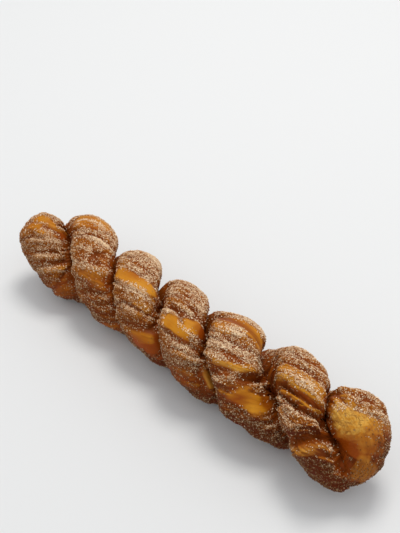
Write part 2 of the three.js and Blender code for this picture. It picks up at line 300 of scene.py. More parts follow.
# Stretches of crust that aren't plain sugared dough, from the far end to the near end, and
# after them some on the back.
PATCHES = (
    Patch(A, 14, -34, 11, 5.0, bare=0.98, smooth=0.6),
    Patch(A, 21.5, -78, 10, 3.0, bare=0.95, smooth=0.8, red=0.5),
    Patch(A, 19, -52, 9, 1.2, frosted=0.6),
    Patch(A, 12.5, -25, 5, 0.9, frosted=0.5),
    Patch(A, 35, -55, 16, 5, creased=0.7),
    Patch(A, 52, -60, 18, 6.0, bare=0.75, smooth=0.2),
    Patch(B, 41, 24, 19, 4.6, bare=0.9, smooth=0.8),
    Patch(B, 39, 44, 7, 0.9, frosted=1.0),
    Patch(B, 46, -5, 10, 1.6, frosted=0.6),
    Patch(B, 58, -32, 12, 1.8, frosted=1.0),
    Patch(B, 64, 60, 8, 3.0, frosted=0.7),
    Patch(B, 74, -48, 13, 4.0, bare=0.5, creased=0.6, red=0.5),
    Patch(B, 82, -50, 17, 3.4, bare=0.8, smooth=0.3, red=0.5),
    Patch(B, 90, -40, 17, 2.6, bare=0.6, creased=0.7, red=0.6),
    Patch(B, 107, -55, 14, 4.4, bare=0.8, smooth=0.4),
    Patch(A, 120, -24, 11, 2.4, frosted=0.5),
    Patch(A, 138, -6, 24, 3.5, bare=1.0, smooth=0.95),
    Patch(A, 142.6, -20, 9, 1.0, frosted=1.0),
    Patch(A, 147, -40, 11, 1.1, frosted=1.0),
    Patch(A, 154, 5, 24, 6.0, creased=0.3),
    Patch(A, 149.5, -32, 12, 2.4, frosted=0.12),
    Patch(A, 153, -62, 12, 5.0, bare=0.6),
    Patch(A, 169, -52, 16, 5.6, bare=1.0, smooth=0.8, red=0.35),
    Patch(A, 175, -58, 9, 4.6, bare=0.8, red=1.0),
    Patch(B, 180, 10, 22, 6.0, creased=0.5),
    Patch(B, 187, -46, 10, 2.0, frosted=0.2),
    Patch(B, 197, 2, 12, 3.1, bare=1.0, smooth=1.0, lay=0.11),
    Patch(B, 199, -58, 12, 3.3, bare=1.0, smooth=1.0, lay=0.17),
    Patch(B, 200.5, -84, 9, 4.0, bare=0.9, smooth=0.6, lay=0.17, red=0.7),
    Patch(B, 201.5, -42, 9, 0.9, frosted=0.8, lay=0.12),
    Patch(B, 209, -22, 16, 4.6, frosted=0.2),
    Patch(B, 223, -36, 20, 6.0, bare=0.65, smooth=0.2),
    Patch(B, 226, -87, 8.5, 2.8, bare=1.0, smooth=1.0, pale=0.6, lay=0.02),
    Patch(A, 256.5, -18, 25, 2.9, bare=1.0, smooth=0.9, lay=0.106),
    Patch(A, 256.5, 26, 7, 2.4, bare=0.75, smooth=0.5, lay=0.11),
    Patch(A, 259.5, -6, 6, 3.0, frosted=0.8, lay=0.11),
    Patch(A, 264, 8, 16, 4.0, frosted=0.4, lay=0.11),
    Patch(A, 269, -22, 24, 5.5, creased=0.3, lay=0.11),
    Patch(A, 275.5, -5, 14, 1.6, bare=0.9, smooth=0.6, pale=0.5),
    Patch(A, 285.6, -76, 12, 2.2, bare=0.9, lay=0.28, red=1.0),
    Patch(A, 280, 2, 8, 1.4, frosted=0.6, lay=0.28),
    Patch(A, 291, -40, 20, 4.0, bare=0.75, smooth=0.2),
    Patch(A, 296, -66, 17, 4.6, bare=1.0, smooth=0.9),
    Patch(B, 307, 20, 22, 5.0, creased=0.3, lay=0.12),
    Patch(B, 317, 42, 13, 2.2, bare=0.85, smooth=0.5),
    Patch(B, 329, -45, 22, 3.0, bare=0.8, smooth=0.5),
    Patch(B, 322, 45, 9, 2.0, bare=0.8, smooth=0.4, pale=0.5),
    Patch(B, 324.5, 0, 12, 1.2, frosted=0.7, lay=0.13),
    Patch(B, 331, 10, 30, 4.2, bare=0.8, creased=0.9),
    Patch(B, 342, -5, 24, 5.0, creased=0.6),
    Patch(B, 352, -5, 22, 2.6, bare=0.9, lay=0.28, red=1.0),
    Patch(B, 356, -10, 16, 2.2, bare=0.6, pale=0.3, lay=0.4),
    Patch(B, 366, -100, 14, 3.0, bare=0.6),
    Patch(B, 360, -62, 6, 3.0, bare=0.6, lay=0.3),
    Patch(A, 380.5, 62, 9, 1.3, bare=0.9, lay=0.23),
    Patch(A, 383.5, 70, 9, 1.5, bare=0.95, smooth=0.3, lay=0.23),
    Patch(A, 384.6, 66, 5, 0.8, frosted=0.7, lay=0.6),
    Patch(A, 389.5, 26, 8, 1.0, frosted=0.6, lay=0.09),
    Patch(A, 393, 2, 6, 1.8, frosted=0.5, lay=0.09),
    Patch(A, 386, 0, 16, 3.6, creased=0.8, lay=0.15),
    Patch(A, 391.5, 20, 12, 2.0, bare=0.7, lay=0.1),
    Patch(A, 389.0, 72, 5.4, 9, bare=1.0, smooth=0.7, pale=1.0, lay=-0.02, crumbly=1.0),
    Patch(A, 393, 74, 9.5, 13, bare=0.96, smooth=0.6, pale=0.45, lay=-0.02, crumbly=0.3),
    Patch(A, 400, 98, 10, 9, bare=1.0, smooth=0.9, lay=0.0),
    Patch(A, 410, 122, 7, 4, red=1.0, lay=0.0),
    Patch(A, 400, 68, 10, 7, bare=0.9, smooth=0.6, pale=0.25, lay=0.1),
    Patch(A, 399, 42, 9, 7, bare=0.7, smooth=0.3, pale=0.3, lay=0.0),
    Patch(A, 412, 50, 8, 10, bare=0.7, smooth=0.3, pale=0.5, lay=0.0),
    Patch(A, 80, 10, 16, 3.0, bare=0.85, smooth=0.7),
    Patch(A, 92, -45, 12, 3.0, bare=0.8, creased=0.4),
    Patch(A, 88, 55, 10, 2.0, frosted=0.6),
    Patch(A, 202, 20, 18, 3.4, bare=0.9, smooth=0.8),
    Patch(A, 222, -30, 14, 3.0, bare=0.7, creased=0.5),
    Patch(A, 210, 60, 9, 1.6, frosted=0.6),
    Patch(A, 325, 0, 16, 3.2, bare=0.85, smooth=0.6),
    Patch(A, 345, 40, 12, 3.0, bare=0.8, red=0.4),
    Patch(B, 14, 60, 10, 3.0, bare=0.8, smooth=0.5),
    Patch(B, 130, 15, 18, 3.4, bare=0.9, smooth=0.8),
    Patch(B, 150, -35, 12, 3.0, bare=0.7, creased=0.5),
    Patch(B, 141, 60, 9, 1.6, frosted=0.6),
    Patch(B, 252, 10, 18, 3.2, bare=0.85, smooth=0.7),
    Patch(B, 276, 45, 12, 3.0, bare=0.8, red=0.4),
    Patch(B, 268, -40, 9, 1.6, frosted=0.5),
)


# ------------------------------------------------------------------ the two strands


@dataclass
class Stations:
    """Places along a strand, one row each, in millimetres.

    middle and pivot are points; half, depth and spread give the section; bend is 1 where the
    strand rolls round the ball; at and left are the distances from its two ends.
    """

    middle: Array
    pivot: Array
    half: Array
    depth: Array
    spread: Array
    bend: Array
    at: Array = field(default_factory=lambda: np.zeros(0))
    left: Array = field(default_factory=lambda: np.zeros(0))

    def evened(self, step: float) -> "Stations":
        """Rows moved to even steps along the middles.

        Args:
            step: wanted distance between rows.

        Returns:
            New stations, each value mixed linearly between its neighbours.
        """
        spans = np.linalg.norm(np.diff(self.middle, axis=0), axis=1)
        lengths = np.concatenate([[0.0], np.cumsum(spans)])
        total = lengths[-1]
        at = np.linspace(0.0, total, int(round(total / step)) + 1)

        def mixed(values: Array) -> Array:
            """One column, or each column of a table, at the even steps."""
            table = values.reshape(len(values), -1)
            columns = [np.interp(at, lengths, column) for column in table.T]
            return np.stack(columns, 1).reshape((len(at),) + values.shape[1:])

        kept = (self.middle, self.pivot, self.half, self.depth, self.spread, self.bend)
        return Stations(*[mixed(values) for values in kept], at=at, left=total - at)


@dataclass
class TwistForm:
    """The helix of two strands that lies along +X, and the ball at its near end."""

    crests: Sequence[Crest] = CRESTS
    spread: float = 1.17
    belly: float = 0.17
    merge: float = 2.2
    rest_depth: float = 1.2
    bow_depth: float = -2.0
    bow_middle: float = 23.5
    bow_reach: float = 115.0
    tips: dict[Rope, Tip] = field(
        default_factory=lambda: {A: Tip(12.5, 18.5, 1.0), B: Tip(-150.0, 18.0, 0.55)}
    )
    ball_along: float = 112.2
    ball_turn: float = -27.0
    ball_yaw: float = -10.0
    ball_swing: float = 17.7
    ball_half: float = 12.2
    ball_spread: float = 1.24
    ball_sweep: float = 165.0
    ball_ease: float = 33.0
    ball_shift: tuple[float, float] = (-1.9, 0.8)
    ball_pinch: float = 1.1
    ball_blend: int = 13
    ball_round: float = 12.0
    tuck_beyond: float = 12.1
    tuck_turn: float = 11.7
    tuck_half: float = 10.5
    tuck_round: float = 9.0

    def phase(self, x: Array) -> Array:
        """Half turns made since the first crest, in radians: pi at each crest in turn."""
        at = np.array([crest.along for crest in self.crests])
        before = at[1] - at[0]
        after = at[-1] - at[-2]
        first = [at[0] - 2 * before, at[0] - before]
        knots = np.concatenate([first, at, [at[-1] + after, at[-1] + 2 * after]])
        values = np.pi * (np.arange(len(knots)) - 2.0)
        rates = np.diff(values) / np.diff(knots)
        inner = 2 * rates[:-1] * rates[1:] / (rates[:-1] + rates[1:])
        slopes = np.concatenate([[rates[0]], inner, [rates[-1]]])
        return hermite(knots, values, slopes, x)

    def crest_value(self, rope: Rope, name: str, x: Array) -> Array:
        """A crest dimension of one strand, smooth between that strand's own crests."""
        own = self.crests[rope.value :: 2]
        knots = np.array([crest.along for crest in own])
        values = np.array([getattr(crest, name) for crest in own])
        rates = np.diff(values) / np.diff(knots)
        slopes = np.concatenate([[rates[0]], (rates[:-1] + rates[1:]) / 2, [rates[-1]]])
        return hermite(knots, values, slopes, np.clip(x, knots[0], knots[-1]))

    def reach(self, x: Array) -> Array:
        """How far the two strands reach from the axis, on average: swing plus half."""
        parts = [self.crest_value(rope, name, x) for rope in Rope for name in ("swing", "half")]
        return sum(parts) / 2

    def axis(self, x: Array) -> Array:
        """Points of the twist's axis: a shallow bow, raised so that the twist lies on z = 0."""
        bow = self.bow_depth * (1 - ((x - self.bow_middle) / self.bow_reach) ** 2)
        to_ball = ease(x, self.ball_along - self.ball_ease, self.ball_along)
        reach = self.reach(x)
        rise = self.ball_swing + self.ball_half - reach + self.ball_shift[1]
        height = reach + to_ball * rise - self.rest_depth
        return np.stack([x, bow + to_ball * self.ball_shift[0], height], -1)

    @staticmethod
    def outward(theta: Array) -> Array:
        """Direction from the axis at a turn from the top: (0, -sin, cos)."""
        return np.stack([0 * theta, -np.sin(theta), np.cos(theta)], -1)

    def final_turn(self, rope: Rope) -> float:
        """The turn at which a strand leaves the helix, in radians."""
        turn = self.ball_turn + rope.value * self.tuck_turn
        return (len(self.crests) - 1 - rope.value) * math.pi + math.radians(turn)

    def helix(self, rope: Rope) -> Stations:
        """Stations of a strand along the helix, from its far tip.

        Args:
            rope: which strand.

        Returns:
            Stations with middle = axis + swing * outward(phase).
        """
        tip = self.tips[rope]
        on_a = rope is A
        finish = self.ball_along + (0.0 if on_a else self.tuck_beyond)
        offset = rope.value * math.pi
        correction = self.final_turn(rope) + offset - self.phase(np.array([finish]))[0]
        tries = np.arange(self.crests[0].along - 90, self.crests[0].along + 60, 0.1)
        begin = tries[np.argmax(self.phase(tries) - offset >= math.radians(tip.turn))]
        x = np.linspace(begin, finish, 601)
        to_ball = ease(x, self.ball_along - self.ball_ease, finish)
        theta = self.phase(x) - offset + to_ball * correction
        gather = tip.gather + (1 - tip.gather) * ease(x, begin, begin + 2 * tip.rounding)
        swing = self.crest_value(rope, "swing", x)
        swing = (swing + (self.ball_swing - swing) * to_ball) * gather
        half = self.crest_value(rope, "half", x)
        half = half + ((self.ball_half if on_a else self.tuck_half) - half) * to_ball
        last_merge = -self.ball_pinch if on_a else self.merge
        depth = swing + self.merge + (last_merge - self.merge) * to_ball
        spread = self.spread + (self.ball_spread - self.spread) * to_ball
        pivot = self.axis(x)
        middle = pivot + self.outward(theta) * swing[:, None]
        return Stations(middle, pivot, half, depth, spread, 0 * x)

    def ball(self) -> Stations:
        """Stations round the ball: a circle of the ball's swing about its pivot."""
        count = 200
        angle = math.radians(self.ball_sweep) * np.arange(1, count + 1) / count
        theta = np.array(self.final_turn(A))
        pivot = self.axis(np.array([self.ball_along]))[0]
        yaw = math.radians(self.ball_yaw)
        forward = self.outward(theta + math.pi / 2) * math.sin(yaw)
        forward[0] = math.cos(yaw)
        turned = np.sin(angle)[:, None] * forward + np.cos(angle)[:, None] * self.outward(theta)
        ones = np.ones(count)
        return Stations(
            pivot + self.ball_swing * turned,
            np.repeat(pivot[None], count, 0),
            ones * self.ball_half,
            ones * (self.ball_swing - self.ball_pinch),
            ones * self.ball_spread,
            ones,
        )

    def eased(self, points: Array) -> Array:
        """Points drawn towards their neighbours by a raised cosine, with the ends kept."""
        rows = np.arange(len(points))
        widths = np.minimum(self.ball_blend, np.minimum(rows, len(points) - 1 - rows))
        total = np.zeros_like(points)
        weights = np.zeros(len(points))
        for k in range(-self.ball_blend, self.ball_blend + 1):
            inside = np.abs(k) <= widths
            weight = np.where(inside, 1 + np.cos(np.pi * k / (widths + 1)), 0.0)
            total += points[np.clip(rows + k, 0, len(points) - 1)] * weight[:, None]
            weights += weight
        return total / weights[:, None]

    def stations(self, rope: Rope, step: float) -> Stations:
        """Stations of a whole strand, with the turn into the ball eased.

        Args:
            rope: which strand.
            step: distance between rows.

        Returns:
            Even stations from the far tip to the near end.
        """
        rows = self.helix(rope)
        if rope is A:
            ball = self.ball()
            rows = Stations(
                *[
                    np.concatenate([getattr(rows, name), getattr(ball, name)])
                    for name in ("middle", "pivot", "half", "depth", "spread", "bend")
                ]
            )
        rows = rows.evened(1.0)
        rows.middle = self.eased(rows.middle)
        rows.pivot = self.eased(rows.pivot)
        return rows.evened(step)


@dataclass
class Relief:
    """The dough's unevenness: swells, folds, stretched ridges and fine wrinkles."""

    lay: float = 0.17
    wrinkle_lay: float = 0.125
    ridge_count: int = 5
    ridge_height: float = 1.2
    ridge_run: float = 15.0
    bands: tuple[WrinkleBand, ...] = (
        WrinkleBand(9, 10.0, 1.5, 5, 0.4),
        WrinkleBand(21, 7.0, 1.0, 3, 0.45),
        WrinkleBand(35, 5.0, 0.5, 2, 0.25),
    )
    streaks: tuple[StreakBand, ...] = (
        StreakBand(0.3, 9.0, 9, 31),
        StreakBand(0.5, 8.0, 33, 33),
        StreakBand(0.5, 7.0, 61, 37),
    )
    clump: StreakBand = StreakBand(0.4, 1.9, 47, 35)
    patch_edge: tuple[float, float] = (0.72, 1.18)
    patch_uneven: float = 0.22
    wander: float = 0.02
    level: float = 0.6
    strength: float = 0.85
    strength_swing: float = 0.5
    crease_gain: float = 0.8
    smoothing: float = 0.9

    def turns(self, angle: Array, lay: Array) -> Array:
        """Place across the ridges, in whole turns round the strand."""
        return (angle + lay) / (2 * np.pi)

    def swells(self, rope: Rope, at: Array, angle: Array, half: Array) -> Array:
        """Sum of round humps: height * exp(-(distance / wide)^2)."""
        total = np.zeros(np.broadcast(at, angle).shape)
        for swell in (each for each in SWELLS if each.rope is rope):
            along = (at - swell.at) / swell.wide
            across = wrapped(angle - math.radians(swell.turn)) * half / swell.wide
            total = total + swell.height * np.exp(-along * along - across * across)
        return total

    def folds(self, rope: Rope, at: Array, angle: Array) -> Array:
        """Sum of long folds: height * exp(-(distance off the fold's line / wide)^2)."""
        total = np.zeros(np.broadcast(at, angle).shape)
        for fold in (each for each in FOLDS if each.rope is rope):
            turned = wrapped(angle - math.radians(fold.turn))
            off = (at - fold.at + turned / fold.lay) / fold.wide
            reach = math.radians(fold.reach)
            kept = 1 - ease(np.abs(turned), reach / 2, reach)
            total = total + fold.height * kept * np.exp(-off * off)
        return total

    def patches(self, rope: Rope, at: Array, angle: Array, half: Array, value: str) -> Array:
        """How much of one quality the patches give, from 0 to 1.

        Each patch is an ellipse, long with the ridges, whose edge is made uneven by noise. The
        distance in it is sqrt((along / long)^2 + (across / wide)^2).

        Args:
            rope: which strand.
            at: distances along it.
            angle: angles round it.
            half: its half thickness.
            value: name of the patch's quality.

        Returns:
            The largest of the patches' values at each place.
        """
        total = np.zeros(np.broadcast(at, angle).shape)
        uneven = ring_noise(angle / (2 * np.pi) + at * 0.02, at / 3.1, 17, 5 + rope.value)
        for patch in (each for each in PATCHES if each.rope is rope):
            step = at - patch.at
            arc = wrapped(angle - math.radians(patch.turn)) * half
            slope = patch.lay * half
            scale = np.sqrt(1 + slope * slope)
            along = (step - slope * arc) / scale
            across = (slope * step + arc) / scale
            distance = np.sqrt((along / patch.long) ** 2 + (across / patch.wide) ** 2)
            share = 1 - ease(distance + self.patch_uneven * uneven, *self.patch_edge)
            total = np.maximum(total, share * getattr(patch, value))
        return total

    def wrinkles(self, rope: Rope, at: Array, turns: Array, smooth: Array, creased: Array) -> Array:
        """Wrinkles with the ridges: ripples, and grooves of depth (1 - |noise|)^power.

        Args:
            rope: which strand.
            at: distances along it.
            turns: places across the ridges, in whole turns.
            smooth: 1 where the dough has none.
            creased: 1 where it is creased deeply.

        Returns:
            Heights in millimetres, mostly below zero.
        """
        seed = 11 + rope.value
        wander = turns + self.wander * ring_noise(turns, at / 9.0, 5, seed + 20)
        noises = [
            ring_noise(wander, at / band.run, band.count, seed + 2 * number)
            for number, band in enumerate(self.bands)
        ]
        pairs = list(zip(self.bands, noises))
        grooves = sum(band.depth * (1 - np.abs(noise)) ** band.power for band, noise in pairs)
        ripple = sum(band.ripple * noise for band, noise in reversed(pairs))
        strength = self.strength + self.strength_swing * ring_noise(turns, at / 8.0, 4, seed + 6)
        heights = (ripple - grooves + self.level) * (strength + self.crease_gain * creased)
        return heights * (1 - self.smoothing * smooth)

    def streaked(self, rope: Rope, at: Array, angle: Array, turns: Array) -> Array:
        """Streaks of sugar that run with the ridges, and small clumps: a sum of noises."""
        parts = [
            band.share * ring_noise(turns, at / band.run, band.count, band.seed + rope.value)
            for band in self.streaks
        ]
        round_it = angle / (2 * np.pi) + 0 * at
        clump = self.clump
        clumps = ring_noise(round_it, at / clump.run, clump.count, clump.seed + rope.value)
        return sum(parts) + clump.share * clumps

    def cracks(self, at: Array, angle: Array) -> Array:
        """Depth of a net of small cracks: 0.9 (1 - |noise|)^5 + 0.5 (1 - |finer|)^4 - 0.25."""
        turns = angle / (2 * np.pi) + 0.012 * ring_noise(angle / (2 * np.pi), at / 4.0, 23, 61)
        cells = ring_noise(turns, at / 3.6 + 0 * angle, 23, 62)
        small = ring_noise(turns, at / 2.4 + 0 * angle, 37, 63)
        return 0.9 * (1 - np.abs(cells)) ** 5 + 0.5 * (1 - np.abs(small)) ** 4 - 0.25


@dataclass
class StrandSurface:
    """A strand's closed mesh, with what the crust and the sugar need at each vertex.

    marks are numbers by name, flow runs with the ridges, and filling is points of the inside.
    """

    points: Array
    faces: Array
    marks: dict[str, Array]
    flow: Array
    filling: Array


@dataclass
class Strand:
    """One strand of dough as a fine closed surface."""

    rope: Rope
    form: TwistForm
    relief: Relief
    steps_round: int = 72
    flow_round: float = 15.0
    flow_along: float = 0.22
    groove_depths: tuple[float, float] = (0.2, 2.0)
    crest_heights: tuple[float, float] = (0.2, 1.3)
    first_layer: float = 0.05
    layers: int = 14

    def surface(self) -> StrandSurface:
        """The strand's surface on a grid of rows along it and steps round it.

        The section is out * radial + side * lateral: radial = (half or depth) * cos, lateral =
        half * spread * (1 + belly * cos) * sin, both with the relief added outwards and both
        drawn in by the rounded ends.

        Returns:
            Closed mesh in millimetres, before it is moved into the frame.
        """
        step = 2 * math.pi / self.steps_round / self.relief.lay
        rows = self.form.stations(self.rope, step)
        inner = slice(1, -1)
        middle = rows.middle[inner]
        out, side = self.axes(rows)
        at = rows.at[inner][:, None]
        half = rows.half[inner][:, None]
        lay = np.cumsum(step * self.relief.lay * (1 - rows.bend[inner]))[:, None]
        angle = (2 * np.pi * np.arange(self.steps_round) / self.steps_round)[None, :]
        relief, marks, flow = self.unevenness(at, angle, half, lay)
        closed = self.closing(rows)
        facing = np.cos(angle)
        depth = rows.depth[inner][:, None]
        radial = (np.where(facing > 0, half, depth) + relief) * facing * closed
        lateral = half * rows.spread[inner][:, None] * (1 + self.form.belly * facing) + relief
        lateral = lateral * np.sin(angle) * closed
        points = middle[:, None] + radial[..., None] * out[:, None] + lateral[..., None] * side[:, None]
        points[..., 2] = np.maximum(points[..., 2], 0.0)
        flat = np.concatenate([rows.middle[:1], points.reshape(-1, 3), rows.middle[-1:]])
        flat[:, 2] = np.maximum(flat[:, 2], 0.0)
        shares = np.linspace(self.first_layer, 1.0, self.layers)[:, None, None, None]
        filling = (middle[:, None] + shares * (points - middle[:, None])).reshape(-1, 3)
        return StrandSurface(flat, self.tube_faces(*points.shape[:2]), marks, flow, filling)

    @staticmethod
    def axes(rows: Stations) -> tuple[Array, Array]:
        """Directions out from the pivot and to the side, at each row but the first and last.

        Args:
            rows: the strand's stations.

        Returns:
            Two unit vectors to a row, at right angles to the strand and to each other.
        """
        tangent = rows.middle[2:] - rows.middle[:-2]
        tangent /= np.linalg.norm(tangent, axis=1)[:, None]
        out = rows.middle[1:-1] - rows.pivot[1:-1]
        out -= (out * tangent).sum(1)[:, None] * tangent
        out /= np.linalg.norm(out, axis=1)[:, None]
        return out, np.cross(tangent, out)

    def closing(self, rows: Stations) -> Array:
        """The share of its section that the strand keeps at each row, less at its ends."""
        tip = self.form.tips[self.rope].rounding
        end = self.form.ball_round if self.rope is A else self.form.tuck_round
        kept = self.rounded(rows.at[1:-1] / tip) * self.rounded(rows.left[1:-1] / end)
        return np.sqrt(kept)[:, None]

    def unevenness(
        self, at: Array, angle: Array, half: Array, lay: Array
    ) -> tuple[Array, dict[str, Array], Array]:
        """The relief, and the marks that the patches and the relief leave.

        Args:
            at: distances along the strand.
            angle: angles round it.
            half: its half thickness.
            lay: how far the ridges have turned.

        Returns:
            Heights in millimetres, the marks by name, and the flow (two coordinates that turn
            with the ridges and one that runs slowly along them).
        """
        relief = self.relief
        where = (self.rope, at, angle, half)
        names = ("bare", "smooth", "pale", "frosted", "crumbly", "red")
        fields = {name: relief.patches(*where, name) for name in names}
        turns = relief.turns(angle, lay)
        ridges = relief.ridge_height * ring_noise(
            turns, at / relief.ridge_run + 0 * angle, relief.ridge_count, self.rope.value
        )
        turns = relief.turns(angle, lay * relief.wrinkle_lay / relief.lay)
        creased = relief.patches(*where, "creased")
        wrinkles = relief.wrinkles(self.rope, at, turns, fields["smooth"], creased)
        wrinkles = wrinkles - fields["crumbly"] * relief.cracks(at, angle)
        folds = relief.folds(self.rope, at, angle)
        heights = ridges + relief.swells(*where) + folds + wrinkles
        fields["groove"] = wrinkles + np.minimum(folds, 0)
        fields["raised"] = wrinkles + np.maximum(folds, 0)
        fields["streak"] = relief.streaked(self.rope, at, angle, turns)
        marks = {name: self.capped(values) for name, values in fields.items()}
        marks["groove"] = ease(-marks["groove"], *self.groove_depths)
        marks["raised"] = ease(marks["raised"], *self.crest_heights)
        way = 2 * np.pi * turns
        along = self.flow_along * at + 0 * angle
        flow = np.stack([self.flow_round * np.cos(way), self.flow_round * np.sin(way), along], -1)
        flow = flow.reshape(-1, 3)
        return heights, marks, np.concatenate([flow[:1], flow, flow[-1:]])

    @staticmethod
    def capped(values: Array) -> Array:
        """A grid's values in the order of the vertices, with each end's mean at its pole."""
        return np.concatenate([[values[0].mean()], values.reshape(-1), [values[-1].mean()]])

    @staticmethod
    def rounded(share: Array) -> Array:
        """How full a rounded end is, squared: 1 - (1 - share)^2 inside it."""
        return 1 - np.maximum(0.0, 1 - share) ** 2

    @staticmethod
    def tube_faces(rings: int, count: int) -> Array:
        """Triangles of a tube of rings, drawn together to one point at each end.

        Args:
            rings: number of rings.
            count: points in a ring.

        Returns:
            Vertex numbers, three to a triangle, facing outwards.
        """
        j = np.arange(count)
        following = (j + 1) % count
        start = 1 + np.arange(rings - 1)[:, None] * count
        a, b = start + j, start + following
        c, d = a + count, b + count
        first = np.stack([a, b, c], -1).reshape(-1, 3)
        second = np.stack([b, d, c], -1).reshape(-1, 3)
        last = 1 + (rings - 1) * count
        near = np.stack([0 * j, 1 + following, 1 + j], -1)
        far = np.stack([last + j, last + following, 0 * j + last + count], -1)
        return np.concatenate([near, first, second, far])


@dataclass
class Crowding:
    """How full of dough the space round a point is, worked out on a grid of cells."""

    filling: Array
    cell: float = 1.5
    reach: float = 4.2

    def __post_init__(self) -> None:
        """Marks the filled cells and blurs them with a bell curve of the reach."""
        margin = int(3 * self.reach / self.cell) + 2
        self.origin = self.filling.min(0) - margin * self.cell
        size = np.ceil((self.filling.max(0) - self.origin) / self.cell).astype(int) + margin + 1
        grid = np.zeros(size)
        places = np.floor((self.filling - self.origin) / self.cell).astype(int)
        grid[places[:, 0], places[:, 1], places[:, 2]] = 1.0
        steps = np.arange(-margin + 2, margin - 1)
        weights = np.exp(-0.5 * (steps * self.cell / self.reach) ** 2)
        weights /= weights.sum()
        for axis in range(3):
            grid = sum(w * np.roll(grid, k, axis) for k, w in zip(steps, weights))
        self.grid = grid

    def at(self, points: Array) -> Array:
        """The filled share round each point, mixed between the eight nearest cells.

        Args:
            points: places, one row each.

        Returns:
            About 0.5 on a flat face, less on a crest and more in a valley.
        """
        place = (points - self.origin) / self.cell - 0.5
        low = np.floor(place).astype(int)
        part = place - low
        total = np.zeros(len(points))
        for corner in np.ndindex(2, 2, 2):
            weight = np.where(corner, part, 1 - part).prod(1)
            i, j, k = (low + corner).T
            total += weight * self.grid[i, j, k]
        return total


# ------------------------------------------------------------------ meshes


def mesh_object(name: str, points: Array, faces: Array) -> bpy.types.Object:
    """A mesh object from points in metres and triangles.

    Args:
        name: name of the object.
        points: coordinates, one row each.
        faces: vertex numbers, three to a row.

    Returns:
        The object, linked to the scene, shaded smooth.
    """
    mesh = bpy.data.meshes.new(name)
    mesh.vertices.add(len(points))
    mesh.vertices.foreach_set("co", points.astype(np.float32).ravel())
    mesh.loops.add(faces.size)
    mesh.loops.foreach_set("vertex_index", faces.astype(np.int32).ravel())
    mesh.polygons.add(len(faces))
    mesh.polygons.foreach_set("loop_start", np.arange(0, faces.size, 3, dtype=np.int32))
    mesh.update(calc_edges=True)
    mesh.polygons.foreach_set("use_smooth", np.ones(len(faces), bool))
    obj = bpy.data.objects.new(name, mesh)
    bpy.context.scene.collection.objects.link(obj)
    return obj


def vertex_points(mesh: bpy.types.Mesh) -> Array:
    """The mesh's vertices, one row each."""
    points = np.zeros(len(mesh.vertices) * 3, np.float32)
    mesh.vertices.foreach_get("co", points)
    return points.reshape(-1, 3).astype(float)


def vertex_normals(mesh: bpy.types.Mesh) -> Array:
    """The mesh's normals at its vertices, one row each."""
    normals = np.zeros(len(mesh.vertices) * 3, np.float32)
    mesh.vertex_normals.foreach_get("vector", normals)
    return normals.reshape(-1, 3).astype(float)


def triangles(mesh: bpy.types.Mesh) -> Array:
    """The vertex numbers of the mesh's triangles, one row each."""
    mesh.calc_loop_triangles()
    numbers = np.zeros(len(mesh.loop_triangles) * 3, np.int32)
    mesh.loop_triangles.foreach_get("vertices", numbers)
    return numbers.reshape(-1, 3)


def set_attribute(mesh: bpy.types.Mesh, name: str, values: Array) -> None:
    """Writes one number at each vertex, for the material to read."""
    attribute = mesh.attributes.new(name, "FLOAT", "POINT")
    attribute.data.foreach_set("value", values.astype(np.float32))


# ------------------------------------------------------------------ shader helpers


class Net:
    """The node tree of one material, and the one method that adds nodes to it."""

    def __init__(self, name: str) -> None:
        """Starts an empty material of that name."""
        self.material = bpy.data.materials.new(name)
        self.material.use_nodes = True
        self.tree = self.material.node_tree
        self.tree.nodes.clear()

    def node(self, kind: str, settings: dict[str, Any] | None = None, **inputs: Any) -> bpy.types.Node:
        """Adds a node.

        Args:
            kind: Blender's name of the node's type.
            settings: the node's own settings, set first.
            inputs: socket values or links, by socket name with _ for a space, or by _N number.

        Returns:
            The node.
        """
        node = self.tree.nodes.new(kind)
        for key, value in (settings or {}).items():
            setattr(node, key, value)
        for key, value in inputs.items():
            numbered = key.startswith("_") and key[1:].isdigit()
            place = int(key[1:]) if numbered else key.replace("_", " ")
            self.feed(node.inputs[place], value)
        return node

    def feed(self, socket: bpy.types.NodeSocket, value: Any) -> None:
        """Sets a socket to a value or links it to another socket."""
        if isinstance(value, Term):
            value = value.socket
        if isinstance(value, bpy.types.NodeSocket):
            self.tree.links.new(value, socket)
        else:
            socket.default_value = value

    def term(
        self, kind: str, output: int | str = 0, settings: dict[str, Any] | None = None, **inputs: Any
    ) -> "Term":
        """Adds a node and wraps one of its outputs."""
        return Term(self, self.node(kind, settings, **inputs).outputs[output])

    def attribute(self, name: str) -> "Term":
        """The number that the mesh holds under a name."""
        return self.term("ShaderNodeAttribute", "Fac", {"attribute_name": name})

    def noise(self, scale: float, detail: float, roughness: float = 0.55, vector: Any = None) -> "Term":
        """Noise from 0 to 1 on the object's own coordinates, at a scale per metre."""
        place = vector if vector is not None else self.place()
        return self.term(
            "ShaderNodeTexNoise", "Fac", Vector=place, Scale=scale, Detail=detail, Roughness=roughness
        )

    def place(self) -> bpy.types.NodeSocket:
        """The object coordinates."""
        return self.node("ShaderNodeTexCoord").outputs["Object"]

    def mixed(self, share: Any, first: Any, second: Any, blend: str = "MIX") -> bpy.types.NodeSocket:
        """A colour between two colours, or the first tinted by the second with MULTIPLY."""
        settings = {"data_type": "RGBA", "blend_type": blend, "clamp_factor": True}
        node = self.node("ShaderNodeMix", settings, _0=share, _6=first, _7=second)
        return node.outputs[2]

    def finished(self, **inputs: Any) -> bpy.types.Material:
        """The material, with a Principled shader of these inputs as its surface."""
        shader = self.node("ShaderNodeBsdfPrincipled", **inputs)
        self.node("ShaderNodeOutputMaterial", Surface=shader.outputs["BSDF"])
        return self.material


